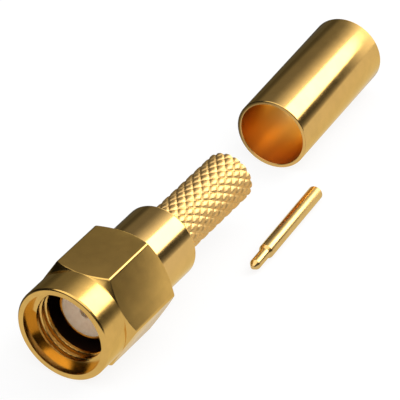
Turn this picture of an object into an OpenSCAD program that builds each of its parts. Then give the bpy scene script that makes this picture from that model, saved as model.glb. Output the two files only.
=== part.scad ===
// SMA crimp plug, cable kit: plug with its coupling nut, loose crimp ferrule, loose centre contact.
// Millimetres, +Z up. The origin is the centre of the mating reference plane, where the outer
// conductor sleeve ends. The plug's axis is X: it mates towards -X and takes its cable from +X.
// The nut lies on one of its flats, and the ferrule and the contact lie on the same surface.

/* [Coupling nut] */
// Width across the flats, five sixteenths of an inch
nut_across_flats = 7.94; // [7.8:0.01:8.4]
// Length of the hexagon
nut_hex_length = 6.2; // [5.8:0.1:8]
// Diameter of the round nose ahead of the hexagon
nut_nose_diameter = 7.92; // [7.4:0.02:7.92]
// Length of the round nose
nut_nose_length = 2.65; // [1.8:0.05:3]
// Depth of the reference plane behind the nut's mouth
nut_reach = 3.2; // [2.4:0.05:3.4]
// Slope of the chamfers at both ends of the hexagon, measured from the end face
nut_chamfer_angle = 35; // [20:1:40]
// Rounding of the nose's outer edge
nut_lip_radius = 0.22; // [0.1:0.01:0.3]
// Radial depth of the counterbore in the nut's mouth, beyond the thread's root
nut_mouth_step = 0.24; // [0.1:0.01:0.3]
// Depth of that counterbore
nut_mouth_depth = 0.95; // [0.4:0.05:1.2]

/* [Coupling thread] */
// Thread diameter over its roots, a quarter of an inch
thread_major_diameter = 6.35; // [6.3:0.01:6.4]
// Thread diameter over its crests, which is the plain bore here
thread_minor_diameter = 5.74; // [5.6:0.01:5.8]
// Threaded length behind the counterbore
thread_length = 1.7; // [1.4:0.1:2.3]

/* [Interface sleeve and gasket] */
// Outside diameter of the outer conductor sleeve
sleeve_diameter = 4.59; // [4.5:0.01:4.62]
// Length of the sleeve from the reference plane to its flange
sleeve_length = 2.3; // [2.1:0.05:2.8]
// Thickness of the gasket that lies on the flange
gasket_thickness = 0.48; // [0.4:0.02:0.5]
// Rise over the sleeve of the step at its root that centres the gasket
gasket_seat_rise = 0.175; // [0.16:0.005:0.3]
// Height of that step on the flange
gasket_seat_height = 0.3; // [0.2:0.02:0.36]

/* [Body] */
// Diameter of the flange and of the collar behind the nut
collar_diameter = 6.26; // [6:0.02:6.3]
// Distance from the reference plane to the collar's rear face
collar_end = 10.7; // [10:0.1:14]
// Rounding of the collar's rear edge
collar_edge_radius = 0.22; // [0.1:0.01:0.4]
// Bore for the cable's dielectric
cable_bore_diameter = 3.12; // [2.6:0.02:3.2]

/* [Knurled crimp stub] */
// Length of the stub behind the collar
stub_length = 9.9; // [6:0.05:14]
// Diameter over the knurl's diamonds
stub_diameter = 4.24; // [4.2:0.02:4.6]
// Depth of the knurl's grooves
knurl_depth = 0.16; // [0.1:0.01:0.24]
// Number of grooves of each hand
knurl_starts = 16; // [12:1:28]
// Slope of the grooves, measured from the plug's axis
knurl_helix_angle = 36; // [25:0.5:45]
// Share of each diamond that is its flat top
knurl_flat_share = 0.56; // [0.2:0.02:0.8]

/* [Insulator] */
// Diameter of the insulator, which is the sleeve's bore
insulator_diameter = 4.1; // [4:0.01:4.2]
// Length of the insulator from the reference plane
insulator_length = 9.4; // [6:0.1:9.6]
// Thickness of the web that stops the centre contact's shoulder
insulator_web = 0.4; // [0.3:0.05:0.8]

/* [Retaining ring] */
// Width of the ring along the axis
ring_width = 0.5; // [0.4:0.05:0.6]
// Outside diameter of the ring, sprung into the nut
ring_outside_diameter = 6.9; // [6.7:0.02:6.96]
// Inside diameter of the ring
ring_inside_diameter = 5.5; // [5.4:0.02:5.7]
// Gap between the ring's ends, as an angle
ring_gap_angle = 34; // [20:1:60]
// Distance from the flange's face to the body's ring groove
ring_groove_offset = 0.9; // [0.7:0.05:1.2]

/* [Centre contact] */
// Diameter of the mating tip
tip_diameter = 0.9; // [0.86:0.01:0.94]
// Length of the mating tip, its cone included
tip_length = 2.1; // [1.8:0.1:2.6]
// Length of the cone at the tip's end
tip_cone_length = 0.45; // [0.3:0.05:0.6]
// Diameter of the tip's flat end
tip_end_diameter = 0.32; // [0.2:0.02:0.5]
// Length of the sloping shoulder between tip and barrel
shoulder_length = 0.25; // [0.1:0.05:0.4]
// Diameter of the barrel
barrel_diameter = 1.22; // [1.16:0.01:1.4]
// Length of the barrel, its shoulder included
barrel_length = 9.1; // [7:0.1:10]
// Chamfer at the barrel's rear end
barrel_edge = 0.08; // [0.02:0.01:0.1]
// Diameter of the conductor's crimp bore
crimp_bore_diameter = 0.94; // [0.6:0.02:1]
// Depth of the conductor's crimp bore
crimp_bore_depth = 3.6; // [2:0.1:5]

/* [Crimp ferrule] */
// Outside diameter of the ferrule
ferrule_diameter = 6.08; // [5.9:0.02:7]
// Wall of the ferrule
ferrule_wall = 0.32; // [0.25:0.01:0.45]
// Length of the ferrule
ferrule_length = 13.6; // [9:0.1:16]
// Chamfer at both outer edges of the ferrule
ferrule_edge = 0.08; // [0.02:0.01:0.15]

/* [Layout of the loose pieces] */
// Gap along X between the stub's end and the ferrule's mouth
ferrule_gap = 7.95; // [4:0.05:12]
// Sideways place of the ferrule's mouth
ferrule_side = 0.8; // [0:0.1:3]
// Turn of the ferrule from the plug's axis
ferrule_yaw = 3.7; // [0:0.1:8]
// Place of the contact's tip along X, behind the reference plane
contact_start = 15.2; // [12:0.1:18]
// Distance of the contact's tip from the plug's axis, towards -Y
contact_side = 5.36; // [5:0.02:8]
// Turn of the contact from the plug's axis
contact_yaw = 4.5; // [0:0.1:6]

/* [Clearances] */
// Radial gap between pieces that turn or slide on each other
running_gap = 0.05; // [0.03:0.01:0.06]
// Radial gap of a piece that is seated once
seat_gap = 0.02; // [0.01:0.01:0.04]
// Travel of the nut along the plug, with the retaining ring in its groove
nut_float = 0.3; // [0.1:0.05:0.4]

/* [Hidden] */
$fn = 96;
past = 0.5;                                  // how far a cut runs past the face that it opens
arc_steps = 6;                               // straight steps in the section of a rounded edge

floor_z = -nut_across_flats / 2;

sleeve_radius = sleeve_diameter / 2;
collar_radius = collar_diameter / 2;
cable_bore_radius = cable_bore_diameter / 2;
insulator_radius = insulator_diameter / 2;
insulator_bore_radius = insulator_radius + seat_gap;
stub_crest_radius = stub_diameter / 2;
stub_root_radius = stub_crest_radius - knurl_depth;
stub_end = collar_end + stub_length;

nut_flat_radius = nut_across_flats / 2;
nut_corner_radius = nut_flat_radius / cos(30);
nut_nose_radius = nut_nose_diameter / 2;
nut_mouth = -nut_reach;
nut_shoulder = nut_mouth + nut_nose_length;
nut_rear = nut_shoulder + nut_hex_length;
nut_bore_radius = collar_radius + running_gap;
thread_crest_radius = thread_minor_diameter / 2;
thread_root_radius = thread_major_diameter / 2;
thread_relief_radius = thread_root_radius + running_gap;
mouth_radius = thread_root_radius + nut_mouth_step;
mouth_end = nut_mouth + nut_mouth_depth;
thread_end = mouth_end + thread_length;

ring_groove_start = sleeve_length + ring_groove_offset;
ring_groove_width = ring_width + nut_float + 2 * running_gap;
ring_start = ring_groove_start + running_gap;
ring_inner_radius = ring_inside_diameter / 2;
ring_outer_radius = ring_outside_diameter / 2;
body_groove_radius = ring_inner_radius - running_gap;
nut_groove_radius = ring_outer_radius + running_gap;
nut_groove_start = ring_start - running_gap;
nut_groove_width = ring_width + 2 * running_gap;

gasket_start = sleeve_length - gasket_thickness;
gasket_seat_radius = sleeve_radius + gasket_seat_rise;
tip_radius = tip_diameter / 2;
tip_end_radius = tip_end_diameter / 2;
barrel_radius = barrel_diameter / 2;
crimp_bore_radius = crimp_bore_diameter / 2;
ferrule_radius = ferrule_diameter / 2;
ferrule_bore_radius = ferrule_radius - ferrule_wall;

knurl_step = 360 / knurl_starts;
knurl_row_target = PI * stub_crest_radius / knurl_starts / tan(knurl_helix_angle);
knurl_rows = floor(stub_length / knurl_row_target);
knurl_row = stub_length / knurl_rows;

// Points of an arc about (centre_r, centre_x), for a section drawn as [radius, place along the axis]
function arc(centre_r, centre_x, radius, from, to) =
    [for (i = [0 : arc_steps])
        let (a = from + (to - from) * i / arc_steps)
        [centre_r + radius * cos(a), centre_x + radius * sin(a)]];

// Lays what is drawn along Z down along X
module along_x() {
    rotate([0, 90, 0]) children();
}

// A turned solid from its section
module turned(section) {
    along_x() rotate_extrude() polygon(section);
}

// A plain cylinder along X between two places
module rod(radius, from, to) {
    translate([from, 0, 0]) along_x() cylinder(r = radius, h = to - from);
}

// A plain cone along X between two places
module cone(radius_1, radius_2, from, to) {
    translate([from, 0, 0]) along_x() cylinder(r1 = radius_1, r2 = radius_2, h = to - from);
}

// Diamond knurl, drawn along Z: two hands of grooves that cross at the root radius, and between
// them raised diamonds with flat tops. The first and last half rows stay at the root.
module knurled_bar() {
    function on_bar(radius, turns, rows) =
        [radius * cos(turns * knurl_step), radius * sin(turns * knurl_step), rows * knurl_row];
    // Turns are offset by half a diamond on every other row
    function stagger(row) = (row % 2) / 2;
    crossings = [for (j = [0 : knurl_rows], i = [0 : knurl_starts - 1])
        on_bar(stub_root_radius, i + stagger(j), j)];
    half = knurl_flat_share / 2;
    tops = [for (j = [1 : knurl_rows - 1], i = [0 : knurl_starts - 1])
        let (mid = i + 0.5 + stagger(j))
        each [on_bar(stub_crest_radius, mid - half, j),
              on_bar(stub_crest_radius, mid, j + 2 * half),
              on_bar(stub_crest_radius, mid + half, j),
              on_bar(stub_crest_radius, mid, j - 2 * half)]];
    function crossing(j, i) = j * knurl_starts + (i + knurl_starts) % knurl_starts;
    function top(j, i, k) = len(crossings) + ((j - 1) * knurl_starts + i) * 4 + k % 4;
    // Diamond i of row j: its corners on the left, towards the end, on the right, and at the back
    function corner(j, i, k) =
        let (ahead = i + (j % 2))
        k % 4 == 0 ? crossing(j, i) :
        k % 4 == 1 ? crossing(j + 1, ahead) :
        k % 4 == 2 ? crossing(j, i + 1) :
        crossing(j - 1, ahead);
    diamonds = [for (j = [1 : knurl_rows - 1], i = [0 : knurl_starts - 1])
        each [for (k = [0 : 3])
            each [[corner(j, i, k), corner(j, i, k + 1), top(j, i, k + 1)],
                  [corner(j, i, k), top(j, i, k + 1), top(j, i, k)]]]];
    flats = [for (j = [1 : knurl_rows - 1], i = [0 : knurl_starts - 1])
        each [[top(j, i, 0), top(j, i, 1), top(j, i, 2)],
              [top(j, i, 0), top(j, i, 2), top(j, i, 3)]]];
    first_row = [for (i = [0 : knurl_starts - 1]) [crossing(0, i), crossing(1, i), crossing(0, i + 1)]];
    last_row = [for (i = [0 : knurl_starts - 1])
        [crossing(knurl_rows, i + 1), crossing(knurl_rows - 1, i + knurl_rows % 2),
         crossing(knurl_rows, i)]];
    caps = [[for (i = [0 : knurl_starts - 1]) crossing(0, i)],
            [for (i = [knurl_starts - 1 : -1 : 0]) crossing(knurl_rows, i)]];
    polyhedron(points = concat(crossings, tops),
               faces = concat(diamonds, flats, first_row, last_row, caps));
}

// Turned body: interface sleeve, flange with the ring groove, collar and knurled crimp stub
module connector_body() {
    color("goldenrod") difference() {
        union() {
            rod(sleeve_radius, 0, sleeve_length + past);
            rod(gasket_seat_radius, sleeve_length - gasket_seat_height, sleeve_length + past);
            turned(concat(
                [[0, sleeve_length], [collar_radius, sleeve_length]],
                arc(collar_radius - collar_edge_radius, collar_end - collar_edge_radius,
                    collar_edge_radius, 0, 90),
                [[0, collar_end]]));
            translate([collar_end, 0, 0]) along_x() knurled_bar();
        }
        difference() {
            rod(collar_radius + past, ring_groove_start, ring_groove_start + ring_groove_width);
            rod(body_groove_radius, ring_groove_start - past,
                ring_groove_start + ring_groove_width + past);
        }
        rod(insulator_bore_radius, -past, insulator_length);
        rod(cable_bore_radius, insulator_length - past, stub_end + past);
    }
}

// Coupling nut: hexagon with a round nose, threaded mouth, ring groove and rear bore
module coupling_nut() {
    corner_rise = (nut_corner_radius - nut_flat_radius) * tan(nut_chamfer_angle);
    nose_rise = (nut_corner_radius - nut_nose_radius) * tan(nut_chamfer_angle);
    color("darkgoldenrod") difference() {
        intersection() {
            translate([nut_mouth, 0, 0]) along_x() rotate([0, 0, 30])
                cylinder(r = nut_corner_radius, h = nut_rear - nut_mouth, $fn = 6);
            turned(concat(
                [[0, nut_mouth]],
                arc(nut_nose_radius - nut_lip_radius, nut_mouth + nut_lip_radius,
                    nut_lip_radius, -90, 0),
                [[nut_nose_radius, nut_shoulder],
                 [nut_corner_radius, nut_shoulder + nose_rise],
                 [nut_corner_radius, nut_rear - corner_rise],
                 [nut_flat_radius, nut_rear],
                 [0, nut_rear]]));
        }
        rod(mouth_radius, nut_mouth - past, mouth_end);
        rod(thread_crest_radius, nut_mouth, thread_end + past);
        rod(thread_relief_radius, thread_end, sleeve_length);
        rod(nut_bore_radius, sleeve_length - past, nut_rear + past);
        rod(nut_groove_radius, nut_groove_start, nut_groove_start + nut_groove_width);
    }
}

// Split ring that holds the nut on the body and lets it turn and float
module retaining_ring() {
    color("peru") translate([ring_start, 0, 0]) along_x()
        rotate([0, 0, ring_gap_angle / 2])
        rotate_extrude(angle = 360 - ring_gap_angle)
        translate([ring_inner_radius, 0])
        square([ring_outer_radius - ring_inner_radius, ring_width]);
}

// Soft ring on the flange that seals the mated pair
module gasket() {
    color("black") difference() {
        rod(collar_radius, gasket_start, sleeve_length);
        rod(gasket_seat_radius + seat_gap, gasket_start - past, sleeve_length + past);
    }
}

// Insulator that carries the centre contact
module insulator() {
    color("antiquewhite") difference() {
        rod(insulator_radius, 0, insulator_length);
        rod(tip_radius + seat_gap, -past, insulator_web + past);
        rod(barrel_radius + seat_gap, insulator_web, insulator_length + past);
    }
}

// Puts a piece drawn along X on the surface, turned about Z
module lying(x, y, radius, yaw) {
    translate([x, y, floor_z + radius]) rotate([0, 0, yaw]) children();
}

// Centre contact: mating tip, shoulder and crimp barrel
module centre_contact() {
    barrel_start = tip_length + shoulder_length;
    contact_end = tip_length + barrel_length;
    color("gold") lying(contact_start, -contact_side, barrel_radius, contact_yaw)
        difference() {
            turned([[0, 0],
                    [tip_end_radius, 0],
                    [tip_radius, tip_cone_length],
                    [tip_radius, tip_length],
                    [barrel_radius, barrel_start],
                    [barrel_radius, contact_end - barrel_edge],
                    [barrel_radius - barrel_edge, contact_end],
                    [0, contact_end]]);
            rod(crimp_bore_radius, contact_end - crimp_bore_depth, contact_end + past);
        }
}

// Crimp ferrule: plain thin tube
module crimp_ferrule() {
    color("goldenrod") lying(stub_end + ferrule_gap, ferrule_side, ferrule_radius, ferrule_yaw)
        difference() {
            turned([[0, 0],
                    [ferrule_radius - ferrule_edge, 0],
                    [ferrule_radius, ferrule_edge],
                    [ferrule_radius, ferrule_length - ferrule_edge],
                    [ferrule_radius - ferrule_edge, ferrule_length],
                    [0, ferrule_length]]);
            rod(ferrule_bore_radius, -past, ferrule_length + past);
        }
}

connector_body();
coupling_nut();
retaining_ring();
gasket();
insulator();
centre_contact();
crimp_ferrule();
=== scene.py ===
"""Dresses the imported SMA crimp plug, its loose ferrule and its loose centre contact."""

import math

import bmesh
import bpy
import numpy as np
from mathutils import Matrix, Vector


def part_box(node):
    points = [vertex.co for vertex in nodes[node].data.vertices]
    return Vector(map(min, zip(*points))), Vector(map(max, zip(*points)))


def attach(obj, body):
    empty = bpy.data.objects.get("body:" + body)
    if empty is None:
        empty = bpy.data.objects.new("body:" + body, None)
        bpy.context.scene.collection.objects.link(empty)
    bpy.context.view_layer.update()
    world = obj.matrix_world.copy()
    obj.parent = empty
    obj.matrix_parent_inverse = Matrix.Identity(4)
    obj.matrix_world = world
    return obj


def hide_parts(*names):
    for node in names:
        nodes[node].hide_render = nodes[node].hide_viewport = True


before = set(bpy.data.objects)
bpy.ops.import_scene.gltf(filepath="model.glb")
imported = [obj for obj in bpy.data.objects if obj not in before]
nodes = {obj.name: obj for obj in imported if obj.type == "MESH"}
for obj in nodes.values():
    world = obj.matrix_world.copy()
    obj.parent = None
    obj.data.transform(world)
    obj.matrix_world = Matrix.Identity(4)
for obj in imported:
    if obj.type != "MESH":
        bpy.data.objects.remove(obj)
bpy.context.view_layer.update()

MM = 0.001                      # sizes are in millimetres where nothing else is said

# Sizes that the parts' boxes in model.glb do not give, as in the part's source, where the knurl is
# 0.16 deep
NOSE_RADIUS = 3.96
NOSE_LENGTH = 2.65
CHAMFER_SLOPE = math.tan(math.radians(35))
LIP_RADIUS = 0.22
MOUTH_STEP = 0.24
MOUTH_DEPTH = 0.95
THREAD_MAJOR = 3.175
THREAD_MINOR = 2.87
THREAD_PITCH = 25.4 / 36        # 36 turns an inch
THREAD_LENGTH = 1.7
RUNNING_GAP = 0.05
SEAT_GAP = 0.02
SLEEVE_RADIUS = 2.295
SLEEVE_LENGTH = 2.3
GASKET_THICKNESS = 0.48
GASKET_SEAT_RADIUS = 2.47
GASKET_SEAT_HEIGHT = 0.3
COLLAR_RADIUS = 3.13
COLLAR_END = 10.7
COLLAR_EDGE = 0.22
STUB_RADIUS = 2.12
KNURL_DEPTH = 0.14
KNURL_STARTS = 16
KNURL_ROWS = 17
CABLE_BORE = 1.56
INSULATOR_RADIUS = 2.05
INSULATOR_LENGTH = 9.4
RING_START = 3.25
RING_WIDTH = 0.5
RING_INNER = 2.75
RING_OUTER = 3.45
NUT_FLOAT = 0.3
TIP_RADIUS = 0.45
TIP_LENGTH = 2.1
TIP_CONE = 0.45
TIP_END = 0.16
SHOULDER = 0.25
BARREL_RADIUS = 0.61
CONTACT_LENGTH = 11.2
CRIMP_BORE = 0.47
CRIMP_BORE_DEPTH = 3.6
FERRULE_RADIUS = 3.04
FERRULE_WALL = 0.32
FERRULE_LENGTH = 13.6
FERRULE_PLACE = (28.55, 0.8)    # the near end of its axis, in X and Y
FERRULE_YAW = 3.7
CONTACT_PLACE = (15.2, -5.36)   # the tip's end
CONTACT_YAW = 4.5

# Small edges and steps that the source leaves sharp or plain
EDGE = 0.04                     # broken edges of turned pieces
BORE_EDGE = 0.05                # broken edges of the rear bores
MOUTH_EDGE = 0.03
HEX_CORNER = 0.2
NOSE_FILLET = 0.05              # where the nose meets the chamfer
CHAMFER_FILLET = 0.09           # where the chamfer meets the flats
REAR_INSET = 0.07               # how far the rear chamfer reaches in from the flats
THREAD_ROOT = 0.125             # share of the pitch that is flat at the root
FLANK_SOFTNESS = 0.35           # 0 is a straight flank, 1 an S-curve
GROOVE_SHARE = 0.7              # depth of one knurl groove, as a share of the height
GROOVE_POWER = 3.5              # a higher power makes a narrower groove
KNURL_TUCK = 0.02               # how far the knurl starts inside the collar
GASKET_EDGE_INNER = 0.1
GASKET_EDGE_OUTER = 0.14
TIP_EDGE = 0.06
BARREL_EDGE = 0.08
CRIMP_EDGE = 0.03
FERRULE_EDGE_OUTER = 0.09
FERRULE_EDGE_INNER = 0.06

# How finely the meshes are divided
FLAT_COLUMNS = 44               # on each of the six flats
CORNER_COLUMNS = 5
THREAD_RINGS = 96
KNURL_COLUMNS = 14              # from one groove to the next
KNURL_RINGS = 8                 # along one row
CONTACT_COLUMNS = 96
FERRULE_COLUMNS = 192
SHARP_ANGLE = 38                # degrees; a steeper edge is shaded sharp

nut_low, nut_high = (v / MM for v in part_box("coupling_nut"))
body_end = (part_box("connector_body")[1] / MM).x
floor_z = nut_low.z


# ---------------------------------------------------------------- meshes

def arc(centre_x, centre_r, radius, start, end, steps=5):
    """Points of a rounded edge, as (place along the axis, radius); the angles are in degrees."""
    angles = np.radians(np.linspace(start, end, steps + 1))
    return [(centre_x + radius * math.cos(a), centre_r + radius * math.sin(a)) for a in angles]


def skin(name, places, radii, angles, finish_and_painted_light, caps=False):
    """A closed mesh from rings round the X axis: places and radii are (rings, columns) arrays.

    The last ring joins the first, or with caps each end is closed by a disc.

    finish_and_painted_light has one number a ring, from 0 where the plate is bright to 1 where it is
    rough and takes its material's second colour, which is painted shade in the nut's relief and
    painted light in the ferrule's bore.
    """
    rings, columns = radii.shape
    points = np.stack([places, radii * np.cos(angles), radii * np.sin(angles)], -1).reshape(-1, 3)
    faces = []
    for i in range(rings - 1 if caps else rings):
        a, b = i * columns, (i + 1) % rings * columns
        for j in range(columns):
            k = (j + 1) % columns
            faces.append((a + j, a + k, b + k, b + j))
    if caps:
        faces.append(tuple(range(columns - 1, -1, -1)))
        faces.append(tuple((rings - 1) * columns + j for j in range(columns)))
    mesh = bpy.data.meshes.new(name)
    mesh.from_pydata((points * MM).tolist(), [], faces)
    bm = bmesh.new()
    bm.from_mesh(mesh)
    bmesh.ops.recalc_face_normals(bm, faces=bm.faces)
    bm.to_mesh(mesh)
    bm.free()
    attribute = mesh.attributes.new("finish_and_painted_light", "FLOAT", "POINT")
    attribute.data.foreach_set("value", np.repeat(finish_and_painted_light, columns))
    mesh.polygons.foreach_set("use_smooth", [True] * len(mesh.polygons))
    mesh.set_sharp_from_angle(angle=math.radians(SHARP_ANGLE))
    obj = bpy.data.objects.new(name, mesh)
    bpy.context.scene.collection.objects.link(obj)
    return obj


def lathe(name, profile, columns=160, caps=False, satin_below=0.0):
    """A turned piece from its section, a list of (place along the axis, radius).

    It is rough, with the material's second colour, where the radius is below satin_below.
    """
    section = np.array(profile)
    angles = np.linspace(0, 2 * math.pi, columns, endpoint=False)
    ones = np.ones(columns)
    finish_and_painted_light = (section[:, 1] < satin_below).astype(float)
    places, radii = (np.outer(column, ones) for column in section.T)
    return skin(name, places, radii, angles, finish_and_painted_light, caps)


def lay(obj, spot, radius, yaw):
    """Turns a round piece about Z and lays it on the floor at spot."""
    turn = Matrix.Rotation(math.radians(yaw), 4, "Z")
    obj.data.transform(Matrix.Translation(Vector((*spot, floor_z + radius)) * MM) @ turn)


def nut_columns():
    """Column angles and hexagon radii, with close columns round the six rounded corners."""
    flat, corner = nut_high.z, HEX_CORNER
    centre = (flat - corner) / math.cos(math.radians(30))
    tangent = math.degrees(math.atan((flat - corner) * math.tan(math.radians(30)) / flat))
    side = np.linspace(-tangent, tangent, FLAT_COLUMNS)
    bend = np.linspace(tangent, 60 - tangent, CORNER_COLUMNS + 2)[1:-1]
    angles, radii = [], []
    for k in range(6):
        angles += list(90 + 60 * k + side) + list(90 + 60 * k + bend)
        radii += list(flat / np.cos(np.radians(side)))
        off = np.radians(bend - 30)
        radii += list(centre * np.cos(off) + np.sqrt(corner ** 2 - (centre * np.sin(off)) ** 2))
    return np.radians(np.array(angles)), np.array(radii)


def make_nut():
    """Hexagon with a round nose, a real right-hand thread in its mouth, ring groove and rear bore."""
    angles, hexagon = nut_columns()
    ones = np.ones(len(angles))
    mouth, rear = nut_low.x, nut_high.x
    shoulder = mouth + NOSE_LENGTH
    places, radii, finish_and_painted_light = [], [], []

    def ring(x, r, finish=0):
        places.append(x * ones)
        radii.append(r * ones)
        finish_and_painted_light.append(finish)

    # Outside, from the mouth to the rear face
    mouth_radius = THREAD_MAJOR + MOUTH_STEP
    for x, r in arc(mouth + MOUTH_EDGE, mouth_radius + MOUTH_EDGE, MOUTH_EDGE, 225, 180, 2):
        ring(x, r)
    for x, r in arc(mouth + LIP_RADIUS, NOSE_RADIUS - LIP_RADIUS, LIP_RADIUS, 180, 90, 6):
        ring(x, r)
    # The chamfer rises little over the flats and much over the corners, and its fillets with it
    rise = hexagon - NOSE_RADIUS
    blend = np.minimum(NOSE_FILLET, rise * 0.3)
    ring(shoulder - EDGE, NOSE_RADIUS)
    ring(shoulder - blend, NOSE_RADIUS)
    ring(shoulder - blend * 0.3, NOSE_RADIUS + blend * 0.12)
    ring(shoulder + blend * CHAMFER_SLOPE, NOSE_RADIUS + blend)
    edge = np.minimum(CHAMFER_FILLET, rise * 0.45)
    front = shoulder + rise * CHAMFER_SLOPE
    for share in (0, 0.25, 0.5, 0.75, 1):
        pull, push = (1 - share) ** 2, share ** 2
        ring(front - edge * CHAMFER_SLOPE * pull + edge * push, hexagon - edge * pull)
    back = rear - (hexagon - nut_high.z + REAR_INSET) * CHAMFER_SLOPE
    ring(back - EDGE, hexagon)
    ring(back + 0.003, hexagon - 0.012)
    ring(back + EDGE * CHAMFER_SLOPE, hexagon - EDGE)
    for x, r in arc(rear - EDGE, nut_high.z - REAR_INSET - EDGE / 2, EDGE, 40, 0, 2):
        ring(x, r)
    # Rear bore, ring groove and relief; the relief is the rough part, coloured near-black as painted
    # shade in its depth
    bore = COLLAR_RADIUS + RUNNING_GAP
    groove = RING_OUTER + RUNNING_GAP
    for x, r in arc(rear - BORE_EDGE, bore + BORE_EDGE, BORE_EDGE, 0, -90, 2):
        ring(x, r)
    ring(RING_START + RING_WIDTH + RUNNING_GAP, bore)
    ring(RING_START + RING_WIDTH + RUNNING_GAP, groove)
    ring(RING_START - RUNNING_GAP, groove)
    ring(RING_START - RUNNING_GAP, bore)
    ring(SLEEVE_LENGTH, bore)
    ring(SLEEVE_LENGTH, THREAD_MAJOR + RUNNING_GAP, 1)
    counterbore = mouth + MOUTH_DEPTH
    end = counterbore + THREAD_LENGTH
    ring(end + BORE_EDGE, THREAD_MAJOR + RUNNING_GAP, 1)
    ring(end, THREAD_MAJOR + RUNNING_GAP)
    # Thread, from its run-out to the counterbore in the mouth
    flank = (THREAD_MAJOR - THREAD_MINOR) * math.tan(math.radians(30)) / THREAD_PITCH
    for i in range(THREAD_RINGS):
        x = end + (counterbore - end) * i / (THREAD_RINGS - 1)
        turn = np.abs((x / THREAD_PITCH - angles / (2 * math.pi)) % 1 - 0.5) * 2
        lift = np.clip((turn - THREAD_ROOT) / (2 * flank), 0, 1)
        lift = lift * lift * (3 - 2 * lift) * FLANK_SOFTNESS + lift * (1 - FLANK_SOFTNESS)
        ring(x, THREAD_MAJOR - (THREAD_MAJOR - THREAD_MINOR) * lift)
    ring(counterbore, mouth_radius)
    ring(mouth + EDGE, mouth_radius)
    return skin("nut_shell", np.array(places), np.array(radii), angles, finish_and_painted_light)


def make_body():
    """Sleeve, flange, collar and knurled stub, turned in one piece."""
    columns = KNURL_STARTS * KNURL_COLUMNS
    angles = np.linspace(0, 2 * math.pi, columns, endpoint=False)
    ones = np.ones(columns)
    places, radii, finish_and_painted_light = [], [], []

    def ring(x, r, finish=0):
        places.append(x * ones)
        radii.append(r * ones)
        finish_and_painted_light.append(finish)

    bore = INSULATOR_RADIUS + SEAT_GAP
    for x, r in arc(EDGE, SLEEVE_RADIUS - EDGE, EDGE, 180, 90, 2):
        ring(x, r)
    step = SLEEVE_LENGTH - GASKET_SEAT_HEIGHT
    ring(step, SLEEVE_RADIUS)
    ring(step, GASKET_SEAT_RADIUS)
    ring(SLEEVE_LENGTH, GASKET_SEAT_RADIUS)
    for x, r in arc(SLEEVE_LENGTH + EDGE, COLLAR_RADIUS - EDGE, EDGE, 180, 90, 2):
        ring(x, r)
    groove = RING_START - RUNNING_GAP
    ring(groove, COLLAR_RADIUS)
    ring(groove, RING_INNER - RUNNING_GAP)
    rear = groove + RING_WIDTH + NUT_FLOAT + 2 * RUNNING_GAP
    ring(rear, RING_INNER - RUNNING_GAP)
    ring(rear, COLLAR_RADIUS)
    for x, r in arc(COLLAR_END - COLLAR_EDGE, COLLAR_RADIUS - COLLAR_EDGE, COLLAR_EDGE,
                    90, 0, 6):
        ring(x, r)
    # Knurl: two hands of grooves between crowned diamonds, deepest where the grooves cross
    stub = body_end - COLLAR_END
    steps = KNURL_ROWS * KNURL_RINGS
    around = angles / (2 * math.pi) * KNURL_STARTS
    for i in range(steps + 1):
        x = COLLAR_END + stub * i / steps
        along = i / steps * KNURL_ROWS / 2
        height = 1.0
        for hand in (1, -1):
            across = np.abs((around + hand * along) % 1 - 0.5) * 2
            height = height * (1 - GROOVE_SHARE * across ** GROOVE_POWER)
        depth = (1 - height) / (1 - (1 - GROOVE_SHARE) ** 2)
        ring(x - (KNURL_TUCK if i == 0 else 0), STUB_RADIUS - KNURL_DEPTH * depth, 1)
    ring(body_end, (CABLE_BORE + STUB_RADIUS) / 2)
    for x, r in arc(body_end - BORE_EDGE, CABLE_BORE + BORE_EDGE, BORE_EDGE, 0, -90, 2):
        ring(x, r)
    ring(INSULATOR_LENGTH, CABLE_BORE)
    ring(INSULATOR_LENGTH, bore)
    for x, r in arc(EDGE, bore + EDGE, EDGE, 270, 180, 2):
        ring(x, r)
    return skin("plug_body", np.array(places), np.array(radii), angles, finish_and_painted_light)


def make_gasket():
    """Soft ring with rounded front edges."""
    start = SLEEVE_LENGTH - GASKET_THICKNESS
    inner, outer = GASKET_SEAT_RADIUS + SEAT_GAP, COLLAR_RADIUS
    edge = GASKET_EDGE_INNER
    profile = arc(start + edge, inner + edge, edge, 270, 180, 4)
    edge = GASKET_EDGE_OUTER
    profile += arc(start + edge, outer - edge, edge, 180, 90, 5)
    profile += [(SLEEVE_LENGTH, outer), (SLEEVE_LENGTH, inner)]
    return lathe("gasket_ring", profile)


def make_contact():
    """Mating tip, shoulder and crimp barrel."""
    profile = [(0, TIP_END * 0.5)]
    profile += arc(TIP_EDGE, TIP_END - 0.02, TIP_EDGE, 180, 120, 3)
    # Small steps soften the edges where the cone meets the tip and the tip meets the barrel
    profile += [(TIP_CONE - 0.08, TIP_RADIUS - 0.035), (TIP_CONE, TIP_RADIUS - 0.006),
                (TIP_CONE + 0.1, TIP_RADIUS)]
    start = TIP_LENGTH + SHOULDER
    profile += [(TIP_LENGTH - 0.02, TIP_RADIUS), (TIP_LENGTH + 0.02, TIP_RADIUS + 0.012)]
    profile += [(start - 0.04, BARREL_RADIUS - 0.02), (start + 0.02, BARREL_RADIUS - 0.003),
                (start + 0.1, BARREL_RADIUS)]
    end, edge = CONTACT_LENGTH, BARREL_EDGE
    profile += arc(end - edge, BARREL_RADIUS - edge, edge, 90, 0, 4)
    edge = CRIMP_EDGE
    profile += arc(end - edge, CRIMP_BORE + edge, edge, 0, -90, 2)
    profile += [(end - CRIMP_BORE_DEPTH, CRIMP_BORE)]
    piece = lathe("contact_pin", profile, CONTACT_COLUMNS, caps=True)
    lay(piece, CONTACT_PLACE, BARREL_RADIUS, CONTACT_YAW)
    return piece


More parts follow.
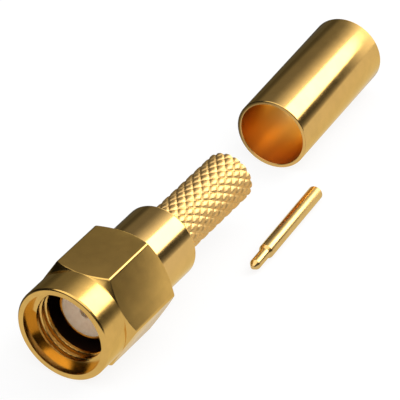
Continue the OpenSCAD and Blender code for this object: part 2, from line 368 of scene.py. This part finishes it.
def make_ferrule():
    """Thin drawn tube with softened rims."""
    inner = FERRULE_RADIUS - FERRULE_WALL
    end, edge = FERRULE_LENGTH, FERRULE_EDGE_OUTER
    profile = arc(edge, FERRULE_RADIUS - edge, edge, 180, 90, 4)
    profile += arc(end - edge, FERRULE_RADIUS - edge, edge, 90, 0, 4)
    edge = FERRULE_EDGE_INNER
    profile += arc(end - edge, inner + edge, edge, 0, -90, 3)
    profile += arc(edge, inner + edge, edge, 270, 180, 3)
    # Its bore is the rough part, which the ferrule's gold paints brighter: painted light inside the
    # tube
    piece = lathe("ferrule_tube", profile, FERRULE_COLUMNS, satin_below=inner + 0.001)
    lay(piece, FERRULE_PLACE, FERRULE_RADIUS, FERRULE_YAW)
    return piece


# ---------------------------------------------------------------- materials

# Noise scales are in cells a metre. The turning marks are close together along the axis
BLOTCH_SCALE = 900
POLISH_SCALE = 1400
MARK_SCALE = (30000, 700, 700)
BUMP_DISTANCE = 0.00002
RIM_TINT = (1, 0.9, 0.6, 1)     # what the gold reflects at a grazing angle

# Sockets of a colour Mix node, by number because hidden ones share their names
MIX_FACTOR, MIX_A, MIX_B, MIX_RESULT = 0, 6, 7, 2


def link(tree, a, b):
    tree.links.new(a, b)


def chain(tree, operation, *values, clamp=False):
    """A math node fed by numbers or by other nodes' outputs."""
    node = tree.nodes.new("ShaderNodeMath")
    node.operation = operation
    node.use_clamp = clamp
    for socket, value in zip(node.inputs, values):
        if isinstance(value, (int, float)):
            socket.default_value = value
        else:
            link(tree, value, socket)
    return node.outputs[0]


def noise(tree, vector, scale, detail):
    """The strength of a noise texture."""
    node = tree.nodes.new("ShaderNodeTexNoise")
    node.inputs["Scale"].default_value = scale
    node.inputs["Detail"].default_value = detail
    link(tree, vector, node.inputs["Vector"])
    return node.outputs["Fac"]


def graded(tree, value, start, end, low, high):
    """A colour that goes from low to high while value goes from start to end."""
    node = tree.nodes.new("ShaderNodeValToRGB")
    first, last = node.color_ramp.elements
    first.position, first.color = start, (*low, 1)
    last.position, last.color = end, (*high, 1)
    link(tree, value, node.inputs["Fac"])
    return node.outputs["Color"]


def spread(tree, value, start, end, low, high, smooth=False):
    """A number that goes from low to high while value goes from start to end."""
    node = tree.nodes.new("ShaderNodeMapRange")
    if smooth:
        node.interpolation_type = "SMOOTHSTEP"
    node.inputs["From Min"].default_value = start
    node.inputs["From Max"].default_value = end
    node.inputs["To Min"].default_value = low
    node.inputs["To Max"].default_value = high
    link(tree, value, node.inputs["Value"])
    return node.outputs["Result"]


def bump(tree, shader, height, strength):
    """Raises the shader's surface a little by height."""
    node = tree.nodes.new("ShaderNodeBump")
    node.inputs["Strength"].default_value = strength
    node.inputs["Distance"].default_value = BUMP_DISTANCE
    link(tree, height, node.inputs["Height"])
    link(tree, node.outputs["Normal"], shader.inputs["Normal"])


def new_material(name):
    """A material, its node tree, its shader and its object coordinates."""
    material = bpy.data.materials.new(name)
    material.use_nodes = True
    tree = material.node_tree
    coords = tree.nodes.new("ShaderNodeTexCoord").outputs["Object"]
    return material, tree, tree.nodes["Principled BSDF"], coords


def gold(name, base, rough, marks, mottle, finish_and_painted_light=None):
    """Bright gold plate with faint blotches, turning marks and uneven polish.

    finish_and_painted_light is the roughness and the colour where the mesh's mask is 1; that colour
    is painted shade in the nut's relief and painted light in the ferrule's bore.
    """
    material, tree, shader, coords = new_material(name)
    shader.inputs["Metallic"].default_value = 1.0
    shader.inputs["Specular Tint"].default_value = RIM_TINT
    dull = [c * (1 - mottle) for c in base]
    colour = graded(tree, noise(tree, coords, BLOTCH_SCALE, 4), 0.35, 0.7, dull, base)
    roughness = spread(tree, noise(tree, coords, POLISH_SCALE, 3), 0.3, 0.7, *rough)
    if finish_and_painted_light:
        satin_rough, satin_base = finish_and_painted_light
        finish = tree.nodes.new("ShaderNodeAttribute")
        finish.attribute_name = "finish_and_painted_light"
        share = finish.outputs["Fac"]
        roughness = chain(tree, "MULTIPLY_ADD", share, satin_rough - rough[0], roughness)
        # Where the mask is 1 the second colour takes over: painted shade in the nut, painted light in
        # the ferrule, the plate's own colour on the body's knurl
        blend = tree.nodes.new("ShaderNodeMix")
        blend.data_type = "RGBA"
        link(tree, share, blend.inputs[MIX_FACTOR])
        link(tree, colour, blend.inputs[MIX_A])
        blend.inputs[MIX_B].default_value = (*satin_base, 1)
        colour = blend.outputs[MIX_RESULT]
    link(tree, colour, shader.inputs["Base Color"])
    link(tree, roughness, shader.inputs["Roughness"])
    mapping = tree.nodes.new("ShaderNodeMapping")
    mapping.inputs["Scale"].default_value = MARK_SCALE
    link(tree, coords, mapping.inputs["Vector"])
    bump(tree, shader, noise(tree, mapping.outputs["Vector"], 1, 2), marks)
    return material


def plain(name, low, high, rough, scale, grain, depth):
    """A matt material with a soft blotch of colour, a fine grain and light in its depth."""
    material, tree, shader, coords = new_material(name)
    blotch = noise(tree, coords, scale, 5)
    link(tree, graded(tree, blotch, 0.3, 0.7, low, high), shader.inputs["Base Color"])
    shader.inputs["Roughness"].default_value = rough
    shader.inputs["Subsurface Weight"].default_value = depth
    shader.inputs["Subsurface Radius"].default_value = (1.0, 0.8, 0.6)
    shader.inputs["Subsurface Scale"].default_value = 0.0006
    bump(tree, shader, blotch, grain)
    return material


# Each gold: colour, roughness from and to, turning marks, mottling, and the rough part's roughness
# and colour
# The nut's rough colour is near-black: painted shade in the relief behind its thread
nut_gold = gold("nut_gold", (0.79, 0.48, 0.13), (0.17, 0.21), 0.01, 0.1,
                (0.5, (0.1, 0.05, 0.03)))
body_gold = gold("body_gold", (0.80, 0.50, 0.17), (0.1, 0.14), 0.01, 0.06,
                 (0.38, (0.78, 0.50, 0.19)))
# The ferrule's rough colour is brighter than its plate: painted light in its bore
ferrule_gold = gold("ferrule_gold", (0.80, 0.49, 0.155), (0.12, 0.16), 0.01, 0.08,
                    (0.28, (0.92, 0.58, 0.19)))
contact_gold = gold("contact_gold", (0.80, 0.52, 0.19), (0.2, 0.26), 0.004, 0.08)
ring_bronze = gold("ring_bronze", (0.5, 0.3, 0.15), (0.25, 0.35), 0.02, 0.1)
rubber = plain("gasket_rubber", (0.008, 0.007, 0.008), (0.016, 0.013, 0.014), 0.55, 3000, 0.1, 0.0)
# The plastic's tan is partly its own tone and partly a painted warm reflection from the gold around
# it
ptfe = plain("insulator_plastic", (0.80, 0.60, 0.42), (0.90, 0.72, 0.54), 0.35, 2500, 0.05, 0.5)

pieces = (
    (make_nut(), "nut", "coupling_nut", "nut_gold", nut_gold),
    (make_body(), "plug", "connector_body", "body_gold", body_gold),
    (make_gasket(), "plug", "gasket", "gasket_rubber", rubber),
    (make_contact(), "plug", "centre_contact", "contact_gold", contact_gold),
    (make_ferrule(), "plug", "crimp_ferrule", "ferrule_gold", ferrule_gold),
)
for piece, body, node, slot, material in pieces:
    piece.data.materials.append(material)
    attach(piece, body)
    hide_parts(node)
for node, material in (("insulator", ptfe), ("retaining_ring", ring_bronze)):
    nodes[node].data.materials.clear()
    nodes[node].data.materials.append(material)


# ---------------------------------------------------------------- studio

FLOOR_HALF = 3.0                # metres
CAMERA_GLOW = 0.85              # share of plain white in the floor that the camera sees
MIRRORED_GLOW = 0.95            # and in the floor that the metal shows
FLOOR_IN_METAL_LEVEL = 0.8               # brightness of the floor in the metal, near the part
PAINTED_SHADE_LEVEL = 0.04               # and behind the part, painted shade, as if that side of the floor lay in shadow
PAINTED_SHADE_EDGE = 5 * MM             # Y of the painted shade's edge at X = 0
PAINTED_SHADE_SLANT = -0.5              # how that Y changes with X, until it is 0
PAINTED_SHADE_FADE = (1 * MM, 7 * MM)   # Y from that edge, where the fade begins and ends

# Brightness of the studio round the plug's axis: the angle goes from the +Y horizon over the top
STUDIO = ((0, 0.07), (14, 0.08), (26, 0.19), (52, 0.2), (62, 0.3), (76, 0.6), (90, 1.1), (100, 1.5),
          (146, 1.3), (151, 0.06), (164, 0.07), (173, 0.22), (180, 0.5))
STUDIO_TOP = 2                  # the levels are halved in the colour ramp, which ends at 1
MOUTH_SHARE = 0.08              # share of the studio's light from beyond the nut's mouth, -X
MOUTH_FADE = (-0.1, 0.55)       # where along X it grows to the full light
OVERHEAD_LEVEL = 1.5
OVERHEAD_SLANT = -0.3           # the overhead light leans towards -X
OVERHEAD_FADE = (0.74, 0.84)
BACKDROP_LEVEL = 2.2
BACKDROP_FADE = (0.8, 0.95)     # the backdrop stands at the cable's end, +X
MATT_LEVEL = 0.7

KEY_ANGLE = 122.5               # from the +Y horizon over the top, in degrees
KEY_AIM = (560, 0, 0)
KEY_DISTANCE = 0.5              # metres, as are the light's two sides
KEY_SIZE = (0.7, 0.42)
KEY_POWER = 3.2                 # watts

CAMERA_ANGLES = (-58.243, 34.777, -0.825)   # azimuth, elevation and roll, in degrees
CAMERA_TARGET = (16.756, 0.2536, 0.03)
CAMERA_DISTANCE = 0.31735       # metres
CAMERA_LENS = 371.47


def make_floor():
    """Pale floor: white to the camera, with a faint shadow; in the metal a painted shade darkens it
    behind the part.
    """
    z = floor_z * MM
    corners = [(-FLOOR_HALF, -FLOOR_HALF, z), (FLOOR_HALF, -FLOOR_HALF, z),
               (FLOOR_HALF, FLOOR_HALF, z), (-FLOOR_HALF, FLOOR_HALF, z)]
    mesh = bpy.data.meshes.new("floor")
    mesh.from_pydata(corners, [], [(0, 1, 2, 3)])
    obj = bpy.data.objects.new("floor", mesh)
    bpy.context.scene.collection.objects.link(obj)
    material, tree, shader, coords = new_material("floor")
    tree.nodes.remove(shader)
    rays = tree.nodes.new("ShaderNodeLightPath").outputs
    mirrored = chain(tree, "MAXIMUM", rays["Is Glossy Ray"], rays["Is Transmission Ray"])
    share = chain(tree, "MAXIMUM", chain(tree, "MULTIPLY", rays["Is Camera Ray"], CAMERA_GLOW),
                  chain(tree, "MULTIPLY", mirrored, MIRRORED_GLOW))
    # Painted shade: in the metal the floor darkens a little way behind the part, as if that side lay
    # in shadow
    split = tree.nodes.new("ShaderNodeSeparateXYZ")
    link(tree, coords, split.inputs[0])
    edge = chain(tree, "MULTIPLY_ADD", split.outputs["X"], PAINTED_SHADE_SLANT, PAINTED_SHADE_EDGE)
    behind = chain(tree, "SUBTRACT", split.outputs["Y"], chain(tree, "MAXIMUM", edge, 0.0))
    floor_with_painted_shade = spread(tree, behind, *PAINTED_SHADE_FADE, FLOOR_IN_METAL_LEVEL, PAINTED_SHADE_LEVEL, smooth=True)
    level = chain(tree, "MAXIMUM", rays["Is Camera Ray"], floor_with_painted_shade)
    matt = tree.nodes.new("ShaderNodeBsdfDiffuse")
    matt.inputs["Color"].default_value = (0.9, 0.9, 0.9, 1)
    glow = tree.nodes.new("ShaderNodeEmission")
    link(tree, level, glow.inputs["Strength"])
    mix = tree.nodes.new("ShaderNodeMixShader")
    link(tree, share, mix.inputs["Fac"])
    link(tree, matt.outputs[0], mix.inputs[1])
    link(tree, glow.outputs[0], mix.inputs[2])
    link(tree, mix.outputs[0], tree.nodes["Material Output"].inputs["Surface"])
    mesh.materials.append(material)


def make_world():
    """White to the camera, a graded studio in reflections, and an even light on matt surfaces."""
    world = bpy.data.worlds.new("studio")
    bpy.context.scene.world = world
    world.use_nodes = True
    tree = world.node_tree
    background = tree.nodes["Background"]
    coords = tree.nodes.new("ShaderNodeTexCoord")
    split = tree.nodes.new("ShaderNodeSeparateXYZ")
    link(tree, coords.outputs["Generated"], split.inputs[0])
    x, y, z = (split.outputs[axis] for axis in "XYZ")
    turn = chain(tree, "DIVIDE", chain(tree, "ARCTAN2", z, y), math.pi, clamp=True)
    ramp = tree.nodes.new("ShaderNodeValToRGB")
    stops = ramp.color_ramp.elements
    while len(stops) > 1:
        stops.remove(stops[0])
    for i, (angle, level) in enumerate(STUDIO):
        stop = stops[0] if i == 0 else stops.new(angle / 180)
        stop.position = angle / 180
        stop.color = (*[level / STUDIO_TOP] * 3, 1)
    link(tree, turn, ramp.inputs["Fac"])
    front = spread(tree, x, *MOUTH_FADE, MOUTH_SHARE * STUDIO_TOP, STUDIO_TOP, smooth=True)
    studio = chain(tree, "MULTIPLY", ramp.outputs["Color"], front)
    lean = chain(tree, "MULTIPLY_ADD", x, OVERHEAD_SLANT, z)
    overhead = spread(tree, lean, *OVERHEAD_FADE, 0.0, OVERHEAD_LEVEL, smooth=True)
    studio = chain(tree, "MAXIMUM", studio, overhead)
    backdrop = spread(tree, x, *BACKDROP_FADE, 0.0, BACKDROP_LEVEL, smooth=True)
    studio = chain(tree, "MAXIMUM", studio, backdrop)
    # Matt surfaces get the studio's mean light from every side
    rays = tree.nodes.new("ShaderNodeLightPath").outputs
    matt = chain(tree, "MULTIPLY", rays["Is Diffuse Ray"], MATT_LEVEL)
    link(tree, chain(tree, "MAXIMUM", studio, matt), background.inputs["Strength"])
    background.inputs["Color"].default_value = (1, 1, 1, 1)
    white = tree.nodes.new("ShaderNodeBackground")
    white.inputs["Color"].default_value = (1, 1, 1, 1)
    mix = tree.nodes.new("ShaderNodeMixShader")
    link(tree, rays["Is Camera Ray"], mix.inputs["Fac"])
    link(tree, background.outputs[0], mix.inputs[1])
    link(tree, white.outputs[0], mix.inputs[2])
    link(tree, mix.outputs[0], tree.nodes["World Output"].inputs["Surface"])


def stand(obj, side, up, back, place):
    """Puts a lamp or the camera at place, with its X, Y and Z axes along side, up and back."""
    bpy.context.scene.collection.objects.link(obj)
    matrix = Matrix((side, up, back)).transposed().to_4x4()
    matrix.translation = place
    obj.matrix_world = matrix


def make_key():
    """A large rectangular soft light, which the camera does not see."""
    lamp = bpy.data.lights.new("key", "AREA")
    lamp.shape = "RECTANGLE"
    lamp.size, lamp.size_y = KEY_SIZE
    lamp.energy = KEY_POWER
    obj = bpy.data.objects.new("key", lamp)
    obj.visible_camera = False
    angle = math.radians(KEY_ANGLE)
    towards = Vector((0, math.cos(angle), math.sin(angle))).normalized()
    side = Vector((0, 0, 1)).cross(towards).normalized()
    place_at = Vector(KEY_AIM) * MM + towards * KEY_DISTANCE
    stand(obj, side, towards.cross(side), towards, place_at)


def make_camera():
    """The photograph's view, from a fit to its outlines."""
    azimuth, elevation, roll = (math.radians(a) for a in CAMERA_ANGLES)
    back = Vector((math.sin(azimuth) * math.cos(elevation),
                   -math.cos(azimuth) * math.cos(elevation), math.sin(elevation)))
    right = (-back).cross(Vector((0, 0, 1))).normalized()
    up = right.cross(-back)
    side = math.cos(roll) * right + math.sin(roll) * up
    top = math.cos(roll) * up - math.sin(roll) * right
    camera = bpy.data.cameras.new("camera")
    camera.sensor_width = 36
    camera.lens = CAMERA_LENS
    camera.clip_start = 0.01
    camera.clip_end = 20
    obj = bpy.data.objects.new("camera", camera)
    stand(obj, side, top, back, Vector(CAMERA_TARGET) * MM + back * CAMERA_DISTANCE)
    bpy.context.scene.camera = obj


make_floor()
make_world()
make_key()
make_camera()
bpy.context.scene.view_settings.view_transform = "Standard"
